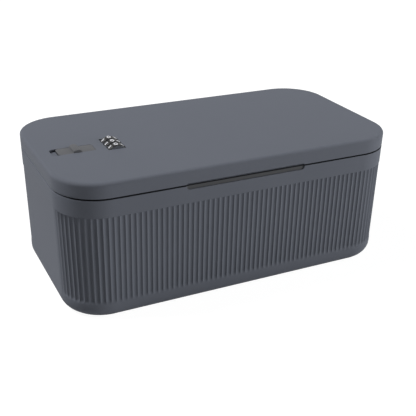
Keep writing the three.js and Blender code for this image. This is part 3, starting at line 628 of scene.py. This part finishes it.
def darken_seam(material, sizes, colours):
    """Paints shade in the recess's tone where the box's own recess attribute says, and a painted shadow on
    the ledge and the foot of the lip under the lid's edge. The painted shadow lies between two heights and
    fades out towards the ends."""
    tree = material.node_tree
    shader = tree.nodes["Principled BSDF"]
    unshaded_colour = shader.inputs["Base Color"].links[0].from_socket
    place = add_node(tree, "ShaderNodeTexCoord").outputs["Object"]
    x, y, z = add_node(tree, "ShaderNodeSeparateXYZ", {0: place}).outputs
    # Painted shade in the finger recess, where the recess attribute says
    recess_shade_share = add_node(tree, "ShaderNodeAttribute", attribute_name="recess").outputs["Fac"]
    unshaded_colour = mix_colours(tree, recess_shade_share, unshaded_colour, opaque(colours.recess))
    soft = sizes.edge_round / 3
    end = sizes.length / 2
    # Painted shadow in the seam: dark between the rim's and the lip's heights, fading out towards the end
    # walls
    above = map_range(tree, z, sizes.rim_height - 2 * soft, sizes.rim_height - soft)
    below = map_range(tree, z, sizes.lip_height - 2 * soft, sizes.lip_height - soft, 1.0, 0.0)
    fade = map_range(
        tree, calculate(tree, "ABSOLUTE", x), end - sizes.foot_fillet, end - sizes.rim_step, 1.0, 0.0,
        interpolation_type="SMOOTHSTEP",
    )
    share = calculate(tree, "MULTIPLY", calculate(tree, "MULTIPLY", above, below), fade)
    set_inputs(tree, shader, {"Base Color": mix_colours(tree, share, unshaded_colour, opaque(colours.seam))})


def box_profile(sizes):
    """The box's wall from the underside's flat to the floor inside: height, extra inset and flute share of
    each ring. Outside it follows the foot's fillet, the taper and the rim's ledge and lip, inside the wall
    and its fillet."""
    foot_in, foot_up = quarter_round(sizes.foot_fillet, FILLET_STEPS)
    edge_in, edge_up = quarter_round(sizes.edge_round, EDGE_STEPS)
    inner_in, inner_up = quarter_round(sizes.inner_fillet, FILLET_STEPS)
    run_low = sizes.flute_foot - sizes.flute_runout / 2
    run_high = sizes.flute_foot + sizes.flute_runout / 2
    runout = np.linspace(run_low, run_high, RUNOUT_RINGS)
    end_shares, end_ways = np.array(FLUTE_END).T
    ends = sizes.flute_top - sizes.edge_round * (1 - end_ways)
    recess_low = sizes.rim_height - sizes.recess_drop
    return np.concatenate([
        rows_of(foot_up, foot_in, 0.0),
        rows_of(runout, 0.0, ramp(runout, run_low, run_high)),
        rows_of(np.linspace(run_high, ends[0], WALL_RINGS)[1:-1], 0.0, 1.0),
        rows_of(ends, 0.0, end_shares),
        rows_of([sizes.flute_top + sizes.edge_round, (sizes.flute_top + recess_low) / 2], 0.0, 0.0),
        rows_of(recess_low + sizes.edge_round * np.array(RECESS_RINGS), 0.0, 0.0),
        rows_of(sizes.rim_height - edge_in, edge_up, 0.0),
        rows_of(sizes.rim_height, sizes.rim_step, 0.0),
        rows_of(sizes.lip_height - edge_in, sizes.rim_step + edge_up, 0.0),
        rows_of(sizes.lip_height - edge_up, sizes.wall - edge_in, 0.0),
        rows_of(sizes.rim_height / 2, sizes.wall, 0.0),
        rows_of(sizes.floor + inner_up[::-1], sizes.wall + inner_in[::-1], 0.0),
    ])


def recess_share(sizes, x, z):
    """Share of the finger recess's depth at a point of the front: one inside a rounded rectangle that is open
    at the top, nothing outside it, changing over one edge radius."""
    half = sizes.recess_length / 2 - sizes.recess_round
    low = sizes.rim_height - sizes.recess_drop + sizes.recess_round
    side = np.clip(np.abs(x) - half, 0, None)
    below = np.clip(low - z, 0, None)
    edge = np.where((side > 0) & (below > 0), np.hypot(side, below), np.maximum(side, below))
    soft = sizes.edge_round / 2
    return 1 - ramp(edge, sizes.recess_round - soft, sizes.recess_round + soft)


def make_box(sizes):
    """The fluted box: rings of the plan at the profile's heights. A flute is a parabola across its pitch, one
    less the square of the way from its middle, so that two neighbours meet in a ridge. It dies out by a
    smooth step towards the ends."""
    stations = flute_stations(sizes)
    foot, out = columns = plan_columns(sizes, stations, BOX_END_STEPS)
    across = (np.arange(len(stations)) % FLUTE_STEPS) / FLUTE_STEPS
    hollow = 1 - (2 * across - 1) ** 2
    hollow *= ramp(stations[-1] - np.abs(stations), 0, sizes.flute_fade)
    flute = np.tile(np.concatenate([hollow, np.zeros(BOX_END_STEPS - 1)]), 2)
    heights, extra, share = box_profile(sizes).T
    taper = taper_at(sizes, heights)
    insets = (taper + extra)[:, None] + share[:, None] * (sizes.flute_sink + sizes.flute_depth * flute)[None]
    front = (out[:, 1] < -SQUARE_ON) & (np.abs(foot[:, 0]) <= sizes.length / 2)
    outside = np.arange(len(heights)) < np.argmax(heights >= sizes.rim_height) + 1
    recessed = recess_share(sizes, foot[None, :, 0], heights[:, None]) * (front & outside[:, None])
    deeper = np.maximum(insets, taper[:, None] + sizes.recess_depth * recessed)
    insets = np.where(outside[:, None], deeper, insets)
    rings = plan_rings(sizes, columns, insets, heights)
    piece = domed_skin("fluted_box", rings, (0, 0, 0), (0, 0, sizes.floor))
    # The recess's share, kept for the painted shade of the recess in the box's material
    mark = piece.data.attributes.new("recess", "FLOAT", "POINT")
    mark.data.foreach_set("value", np.concatenate([recessed.ravel(), [0.0, 0.0]]).astype(np.float32))
    finish_piece(piece, "box", "shell", "box_finish", "box_body")


def lid_profile(sizes):
    """The lid's wall from its underside's flat to its top's: height and extra inset of each ring."""
    rib_in = sizes.rib_inset + sizes.rib_thickness
    round_in, round_up = quarter_round(sizes.edge_round, EDGE_STEPS)
    cove_in, cove_up = quarter_round(4 * sizes.edge_round, ROUND_STEPS)
    crown_in, crown_up = quarter_round(sizes.lid_fillet, FILLET_STEPS)
    skirt = np.linspace(sizes.lid_edge, sizes.height - sizes.lid_fillet, SKIRT_RINGS)[1:-1]
    return np.concatenate([
        rows_of(sizes.lid_underside, rib_in + 3 * cove_in[0]),
        rows_of(sizes.lid_underside - cove_up, rib_in + cove_in),
        rows_of(sizes.rib_foot + round_in, rib_in - round_up),
        rows_of(sizes.rib_foot + round_up, sizes.rib_inset + round_in),
        rows_of(sizes.lid_edge, sizes.rib_inset),
        rows_of(sizes.lid_edge + round_up, round_in),
        rows_of(skirt, 0.0),
        rows_of(sizes.height - crown_in, crown_up),
        rows_of(sizes.height, sizes.lid_fillet + 2 * sizes.edge_round),
    ])


def round_bars(kinds, radius, steps, low, high):
    """Upright round bars at the middles of the CAD screws of these kinds."""
    spots = [node_middle(name)[:2] for name in STEEL_NODES if name.startswith(kinds)]
    return [straight_prism(round_outline(*spot, radius, steps), low, high) for spot in spots]


def end_room(sizes, low_x, high_x, middle, half):
    """The room in the inner rib that an end wall's keeper needs."""
    outline = rounded_outline(low_x, high_x, middle - half, middle + half, sizes.edge_round, 2)
    return straight_prism(outline, sizes.rib_foot - sizes.wall, sizes.lid_underside - sizes.edge_round)


def slot_edges(lock, gap, travel):
    """Edges of the slider's slot, less a gap all round and the slider's travel at its left."""
    half = lock.slot_width / 2 - gap
    left = lock.slot_left + travel + gap
    return left, lock.slot_right - gap, lock.lock_offset - half, lock.lock_offset + half


def make_lid(sizes, lock):
    """The lid: rings of the plan through its profile, with bosses joined and slot, dial window, finger
    relief, keeper rooms and screw holes cut."""
    columns = plan_columns(sizes, plain_stations(sizes), LID_END_STEPS)
    heights, extra = lid_profile(sizes).T
    insets = np.repeat((taper_at(sizes, heights) + extra)[:, None], len(columns[0]), axis=1)
    rings = plan_rings(sizes, columns, insets, heights)
    piece = domed_skin("lid_cover", rings, (0, 0, sizes.lid_underside), (0, 0, sizes.height))

    boss_foot = sizes.lid_underside - sizes.boss_height
    boss_head = sizes.lid_underside + sizes.edge_round
    combine(piece, "UNION", *round_bars("lock_screw", sizes.boss_radius, BOSS_STEPS, boss_foot, boss_head))

    frame_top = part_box("lock_frame")[1].z
    pocket_outline = rounded_outline(
        SLIDER_LOW.x - lock.travel - lock.play, SLIDER_HIGH.x + lock.play,
        SLIDER_LOW.y - lock.play, SLIDER_HIGH.y + lock.play, lock.slot_corner,
    )
    pocket_top = sizes.height - lock.flange_drop + lock.play
    combine(piece, "DIFFERENCE", straight_prism(pocket_outline, frame_top, pocket_top))

    keeper_low, keeper_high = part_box("strike_keeper")
    strike_half = (keeper_high.y - keeper_low.y) / 2 + sizes.strike_room
    hook_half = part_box("hook_keeper")[1].y + sizes.hook_room
    outer = sizes.length / 2 - taper_at(sizes, sizes.lid_edge) - sizes.skirt
    inner = sizes.length / 2 - sizes.rib_inset - sizes.rib_thickness - sizes.edge_round * 6
    rooms = [
        end_room(sizes, -outer, -inner, node_middle("strike_keeper")[1], strike_half),
        end_room(sizes, inner, outer, 0.0, hook_half),
    ]
    chamfer = lock.slot_chamfer
    slot = prism(
        grown_outlines(slot_edges(lock, 0.0, 0.0), lock.slot_corner, (0.0, 0.0, chamfer, chamfer)),
        (frame_top - sizes.wall, sizes.height - chamfer, sizes.height, sizes.height + sizes.wall),
    )
    half = sizes.recess_length / 2
    relief_top = sizes.lid_edge + sizes.lid_relief
    relief = straight_prism(
        rounded_outline(-half, half, relief_top - 3 * sizes.recess_round, relief_top, sizes.lid_relief),
        -sizes.width / 2 - sizes.wall,
        -sizes.width / 2 + taper_at(sizes, sizes.lid_edge) + sizes.rib_inset - sizes.edge_round,
        "XZ",
    )
    holes = round_bars(
        ("lock_screw", "hook_screw"), sizes.screw_hole, HOLE_STEPS,
        boss_foot - sizes.wall, sizes.lid_underside + sizes.hole_depth,
    )
    middle_window, dial_windows = window_shapes(lock)
    combine(piece, "DIFFERENCE", *rooms, slot, middle_window, relief, *holes)
    combine(piece, "DIFFERENCE", *dial_windows)
    finish_piece(piece, "lid", "shell", "shell_finish", "lid_shell")


def window_shapes(lock):
    """The dials' window: along the axle a slot as wide as the code discs need, and a wider one for each dial,
    so that short tongues of the lid stand between the dials."""
    axle_x, axle_z = axle_place()
    disc_low, disc_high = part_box("code_sleeve_3")
    disc_room = (disc_high.z - disc_low.z) / 2 + lock.tongue_gap
    half = lock.dial_width / 2 + lock.tongue_gap
    ends = [[middle - half, middle + half] for middle in dial_middles()]
    ends[-1][1] = disc_high.y + lock.tongue_gap
    disc_outline = round_outline(axle_x, axle_z, disc_room, WINDOW_STEPS)
    dial_outline = round_outline(
        axle_x - lock.window_shift, axle_z, lock.dial_radius + lock.window_gap, WINDOW_STEPS
    )
    middle_window = straight_prism(disc_outline, ends[0][0], ends[-1][1], "XZ")
    return middle_window, [straight_prism(dial_outline, low, high, "XZ") for low, high in ends]


def axle_place():
    """Place of the dials' axle along the box and over the floor."""
    x, y, z = node_middle("number_dial_2")
    return x, z


def dial_middles():
    """Places of the dials along their axle."""
    return [node_middle(name)[1] for name in DIAL_NODES]


def make_slider(sizes, lock):
    """The thumb slider: a flush plate with a rounded edge, a wide flange under the lid and a raised cross
    ridge, whose section is the upper half of a superellipse."""
    edges = left, right, front, back = slot_edges(lock, lock.play, lock.travel)
    low = SLIDER_LOW.z
    flange_low, flange_top = low + lock.flange_start, sizes.height - lock.flange_drop
    inward, upward = quarter_round(lock.button_round, ROUND_STEPS)
    plate = prism(
        grown_outlines(edges, lock.slot_corner - lock.play, [0.0, *-upward]),
        [low, *(lock.button_top - inward)],
    )
    piece = joined_shapes("thumb_slider", [plate])
    flange = rounded_outline(SLIDER_LOW.x, SLIDER_HIGH.x, SLIDER_LOW.y, SLIDER_HIGH.y, lock.button_round)
    combine(piece, "UNION", straight_prism(flange, flange_low, flange_top))

    middle = (left + right) / 2
    half = lock.ridge_width / 2
    angle = np.linspace(0, math.pi, RIDGE_STEPS + 1)
    reach = np.sign(np.cos(angle)) * np.abs(np.cos(angle)) ** (2 / lock.ridge_power) * half
    rise = np.sin(angle) ** (2 / lock.ridge_power) * (SLIDER_HIGH.z - lock.button_top)
    foot = lock.button_top - 4 * lock.button_round
    dome = np.stack([middle + reach, lock.button_top + rise], axis=-1)
    section = np.concatenate([dome, [[dome[-1][0], foot], [dome[0][0], foot]]])
    centre = np.array([middle, lock.button_top])
    end_in, end_along = quarter_round(lock.button_round, EDGE_STEPS)
    outlines = [centre + (section - centre) * (1 - inset / half) for inset in end_in]
    ends = [*(-back + end_along), *(-front - end_along)[::-1]]
    combine(piece, "UNION", prism(outlines + outlines[::-1], ends, "XZ"))

    finish_piece(piece, "slider", "slider_plastic", "slider_finish", "slide_button")
    # Painted shade: the slider's faces below the plate's rounded edge get the dark inner plastic, standing in
    # for the slot's shade; the flange's top, facing up, then gets the shell's plastic
    below = lock.button_top - 2 * lock.button_round
    second_finish(piece, "inner_plastic_and_slider_shade", lambda middles, normals: middles[:, 2] < below)
    above = flange_top + lock.button_round
    second_finish(
        piece, "shell_finish",
        lambda middles, normals:
            (normals[:, 2] > MOSTLY_UP) & (middles[:, 2] > flange_low) & (middles[:, 2] < above),
    )


def make_dial(lock, name, middle, body, node):
    """A dial: a round wheel with a bore. Its radius falls by a cosine into a groove between each two numbers,
    and its rim is rounded to both faces."""
    angle = np.linspace(0, 2 * math.pi, DIAL_STEPS, endpoint=False)
    place = (angle - math.pi / 2 - lock.dial_turn) * DIGITS / (2 * math.pi)
    from_groove = np.abs(place % 1.0 - 0.5)
    dip = (1 + np.cos(math.pi * np.clip(from_groove / (lock.groove_share / 2), 0, 1))) / 2
    rim = lock.dial_radius - lock.number_rise - lock.groove_depth * dip
    drop, along = quarter_round(lock.dial_round, ROUND_STEPS)
    half = lock.dial_width / 2
    share, inset, offset = np.concatenate([
        rows_of(FACE_RINGS, 0.0, -half),
        rows_of(1.0, drop, -half + along),
        rows_of(1.0, 0.0, 0.0),
        rows_of(1.0, drop[::-1], half - along[::-1]),
        rows_of(FACE_RINGS[::-1], 0.0, half),
    ]).T
    radius = lock.dial_bore + (rim[None] - inset[:, None] - lock.dial_bore) * share[:, None]
    axle_x, axle_z = axle_place()
    width = np.broadcast_to((middle + offset)[:, None], radius.shape)
    rings = np.stack([axle_x + radius * np.cos(angle), width, axle_z + radius * np.sin(angle)], axis=-1)
    piece = tyre_skin(name, rings[:, ::-1])
    finish_piece(piece, body, "dial_plastic", "dial_finish", node)
    second_finish(
        piece, "dial_face_finish", lambda middles, normals: np.abs(normals[:, 1]) > NEARLY_SQUARE
    )


def number_shape(lock, digit):
    """One number as a thin solid, drawn flat about its middle and cut into strips so that it can bend."""
    text = bpy.data.curves.new("number", "FONT")
    text.body = str(digit)
    text.align_x = "CENTER"
    text.align_y = "CENTER"
    text.size = lock.number_height / DIGIT_SHARE
    text.offset = lock.number_weight
    text.extrude = lock.number_rise * 2
    holder = place_object("number", text)
    evaluated = holder.evaluated_get(bpy.context.evaluated_depsgraph_get())
    mesh = bpy.data.meshes.new_from_object(evaluated)
    bpy.data.objects.remove(holder)
    bpy.data.curves.remove(text)
    strips = bmesh.new()
    strips.from_mesh(mesh)
    bmesh.ops.remove_doubles(strips, verts=strips.verts[:], dist=MERGE_DISTANCE)
    for level in np.linspace(-0.5, 0.5, DIGIT_STRIPS + 1)[1:-1]:
        parts = strips.verts[:] + strips.edges[:] + strips.faces[:]
        cut = (0, level * lock.number_height, 0)
        bmesh.ops.bisect_plane(strips, geom=parts, plane_co=cut, plane_no=(0, 1, 0))
    bmesh.ops.triangulate(strips, faces=strips.faces[:])
    strips.to_mesh(mesh)
    strips.free()
    points = np.empty(len(mesh.vertices) * 3)
    faces = np.empty(len(mesh.polygons) * 3, dtype=np.int32)
    mesh.vertices.foreach_get("co", points)
    mesh.polygons.foreach_get("vertices", faces)
    bpy.data.meshes.remove(mesh)
    points = points.reshape(-1, 3)
    points[:, :2] -= (points[:, :2].max(axis=0) + points[:, :2].min(axis=0)) / 2
    points[:, 0] *= lock.number_stretch
    return points, faces.reshape(-1, 3).tolist()


def make_numbers(lock, name, middle, body, shapes):
    """The numbers of a dial, wrapped round it. A number's height runs round the dial and its width along the
    axle: angle = place of the number - height / radius, radius = skin + thickness."""
    axle_x, axle_z = axle_place()
    skin = lock.dial_radius - lock.number_rise * 2
    wrapped = []
    for digit, (points, faces) in enumerate(shapes):
        place = math.pi / 2 + lock.dial_turn + digit * 2 * math.pi / len(shapes)
        angle = place - points[:, 1] / skin
        radius = skin + points[:, 2]
        x, z = axle_x + radius * np.cos(angle), axle_z + radius * np.sin(angle)
        wrapped.append((rows_of(x, middle - points[:, 0], z).tolist(), faces))
    finish_piece(joined_shapes(name, wrapped), body, "dial_plastic", "number_paint")


def repaint(nodes, material_name):
    """Gives CAD nodes a finished material in place of their plain one."""
    for name in nodes:
        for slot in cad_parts[name].material_slots:
            slot.material = finish(material_name)


def empty_tree(holder):
    """The cleared node tree of a material or a world."""
    holder.use_nodes = True
    holder.node_tree.nodes.clear()
    return holder.node_tree


def seen_share(tree):
    """One for the camera's own rays, reflections and what is seen through clear things, else nothing."""
    path = add_node(tree, "ShaderNodeLightPath").outputs
    seen = calculate(tree, "MAXIMUM", path["Is Camera Ray"], path["Is Glossy Ray"])
    return calculate(tree, "MAXIMUM", seen, path["Is Transmission Ray"])


def studio_material(stage, colours):
    """The floor's finish: pale to the camera and in reflections, and duller to the light that it sends back,
    so that the object's own shading stays as the lamps make it."""
    material = bpy.data.materials.new("studio_floor")
    tree = empty_tree(material)
    dull = add_node(tree, "ShaderNodeBsdfDiffuse", {"Color": opaque([stage.bounce] * 3)})
    pale = add_node(tree, "ShaderNodeBsdfDiffuse", {"Color": opaque(colours.floor)})
    glow = add_node(tree, "ShaderNodeEmission", {"Color": WHITE, "Strength": stage.glow})
    shown = add_node(tree, "ShaderNodeAddShader", {0: pale.outputs[0], 1: glow.outputs[0]})
    inputs = {0: seen_share(tree), 1: dull.outputs[0], 2: shown.outputs[0]}
    mixed = add_node(tree, "ShaderNodeMixShader", inputs)
    add_node(tree, "ShaderNodeOutputMaterial", {"Surface": mixed.outputs[0]})
    return material


def make_floor(stage, colours):
    """A wide flat floor under the box."""
    half = stage.floor_size
    corners = [(-half, -half, 0), (half, -half, 0), (half, half, 0), (-half, half, 0)]
    floor = new_object("studio_floor", corners, [(0, 1, 2, 3)])
    floor.data.materials.append(studio_material(stage, colours))


def make_world(stage):
    """Even light from all round, white to the camera and in reflections."""
    world = bpy.data.worlds.new("studio")
    tree = empty_tree(world)
    strength = map_range(tree, seen_share(tree), 0.0, 1.0, stage.ambient, 1.0)
    background = add_node(tree, "ShaderNodeBackground", {"Color": WHITE, "Strength": strength})
    add_node(tree, "ShaderNodeOutputWorld", {"Surface": background.outputs[0]})
    bpy.context.scene.world = world


def add_lamp(name, azimuth, elevation, distance, size, level):
    """A square soft lamp that faces the box's middle. level is the share of a facing white surface's full
    brightness that it gives, so its power is level * pi^2 * distance^2."""
    lamp = bpy.data.lights.new(name, "AREA")
    lamp.shape = "SQUARE"
    lamp.size = size
    lamp.energy = level * math.pi**2 * distance**2
    holder = place_object(name, lamp)
    flat = math.cos(math.radians(elevation))
    back = Vector((
        flat * math.cos(math.radians(azimuth)),
        flat * math.sin(math.radians(azimuth)),
        math.sin(math.radians(elevation)),
    ))
    holder.location = Vector((0, 0, LID_HIGH.z / 2)) + back * distance
    holder.rotation_euler = back.to_track_quat("Z", "Y").to_euler()


def make_camera(stage):
    """The camera at the photograph's angle: back from its target along the view, turned by its roll."""
    azimuth, elevation, roll = stage.azimuth, stage.elevation, stage.roll
    back = Vector((
        math.sin(azimuth) * math.cos(elevation),
        -math.cos(azimuth) * math.cos(elevation),
        math.sin(elevation),
    ))
    right = Vector((0, 0, 1)).cross(back).normalized()
    up = back.cross(right)
    turned_right = math.cos(roll) * right + math.sin(roll) * up
    turned_up = math.cos(roll) * up - math.sin(roll) * right
    camera = bpy.data.cameras.new("camera")
    camera.sensor_width = stage.sensor
    camera.lens = stage.lens
    holder = place_object("camera", camera)
    turn = Matrix((turned_right, turned_up, back)).transposed().to_4x4()
    holder.matrix_world = Matrix.Translation(Vector(stage.target) + back * stage.distance) @ turn
    bpy.context.scene.camera = holder


class LOCKBOX_OT_box(bpy.types.Operator):
    """Build the fluted box"""

    bl_idname = "lockbox.box"
    bl_label = "Box"

    def execute(self, context):
        make_box(context.scene.lock_box_sizes)
        return {"FINISHED"}


class LOCKBOX_OT_lid(bpy.types.Operator):
    """Build the lid with its slot and dial window"""

    bl_idname = "lockbox.lid"
    bl_label = "Lid"

    def execute(self, context):
        make_lid(context.scene.lock_box_sizes, context.scene.lock_sizes)
        return {"FINISHED"}


class LOCKBOX_OT_slider(bpy.types.Operator):
    """Build the thumb slider"""

    bl_idname = "lockbox.slider"
    bl_label = "Slider"

    def execute(self, context):
        make_slider(context.scene.lock_box_sizes, context.scene.lock_sizes)
        return {"FINISHED"}


class LOCKBOX_OT_dials(bpy.types.Operator):
    """Build the number dials"""

    bl_idname = "lockbox.dials"
    bl_label = "Dials"

    def execute(self, context):
        lock = context.scene.lock_sizes
        shapes = [number_shape(lock, digit) for digit in range(DIGITS)]
        for i, (middle, body, node) in enumerate(zip(dial_middles(), DIAL_BODIES, DIAL_NODES), 1):
            make_dial(lock, f"dial_wheel_{i}", middle, body, node)
            make_numbers(lock, f"dial_numbers_{i}", middle, body, shapes)
        return {"FINISHED"}


class LOCKBOX_OT_lock_parts(bpy.types.Operator):
    """Finish the lock's inner parts, the keepers and the hooks"""

    bl_idname = "lockbox.lock_parts"
    bl_label = "Lock parts"

    def execute(self, context):
        repaint(STEEL_NODES, "steel_finish")
        repaint(DARK_NODES, "inner_plastic_and_slider_shade")
        repaint(PALE_NODES, "sleeve_finish")
        repaint(("hook_keeper",), "shell_finish")
        return {"FINISHED"}


class LOCKBOX_OT_stage(bpy.types.Operator):
    """Set up the floor, the light and the camera"""

    bl_idname = "lockbox.stage"
    bl_label = "Stage"

    def execute(self, context):
        stage = context.scene.lock_box_stage
        make_camera(stage)
        make_world(stage)
        make_floor(stage, context.scene.lock_box_colours)
        add_lamp("left_lamp", azimuth=152, elevation=54, distance=4.0, size=1.2, level=0.92)
        add_lamp("right_lamp", azimuth=320, elevation=12, distance=2.2, size=0.9, level=0.655)
        context.scene.view_settings.view_transform = "Standard"
        return {"FINISHED"}


class LOCKBOX_PT_panel(bpy.types.Panel):
    """The lock box's makers, in the sidebar"""

    bl_idname = "LOCKBOX_PT_panel"
    bl_label = "Lock Box"
    bl_space_type = "VIEW_3D"
    bl_region_type = "UI"
    bl_category = "Lock Box"

    def draw(self, context):
        for maker in MAKERS:
            self.layout.operator(maker.bl_idname)


MAKERS = (
    LOCKBOX_OT_stage,
    LOCKBOX_OT_box,
    LOCKBOX_OT_lid,
    LOCKBOX_OT_slider,
    LOCKBOX_OT_dials,
    LOCKBOX_OT_lock_parts,
)
GROUPS = {
    "lock_box_sizes": LockBoxSizes,
    "lock_sizes": LockSizes,
    "lock_box_colours": LockBoxColours,
    "lock_box_stage": LockBoxStage,
}


def register():
    for kind in (*GROUPS.values(), *MAKERS, LOCKBOX_PT_panel):
        bpy.utils.register_class(kind)
    for name, kind in GROUPS.items():
        setattr(bpy.types.Scene, name, PointerProperty(type=kind))


def unregister():
    for name in GROUPS:
        delattr(bpy.types.Scene, name)
    for kind in reversed((*GROUPS.values(), *MAKERS, LOCKBOX_PT_panel)):
        bpy.utils.unregister_class(kind)


def plain(corners):
    """Corners as plain lists of numbers."""
    return [[float(value) for value in corner] for corner in corners]


def main():
    register()
    bpy.ops.lockbox.stage()
    bpy.ops.lockbox.box()
    bpy.ops.lockbox.lid()
    bpy.ops.lockbox.slider()
    bpy.ops.lockbox.dials()
    bpy.ops.lockbox.lock_parts()


if __name__ == "__main__":
    main()
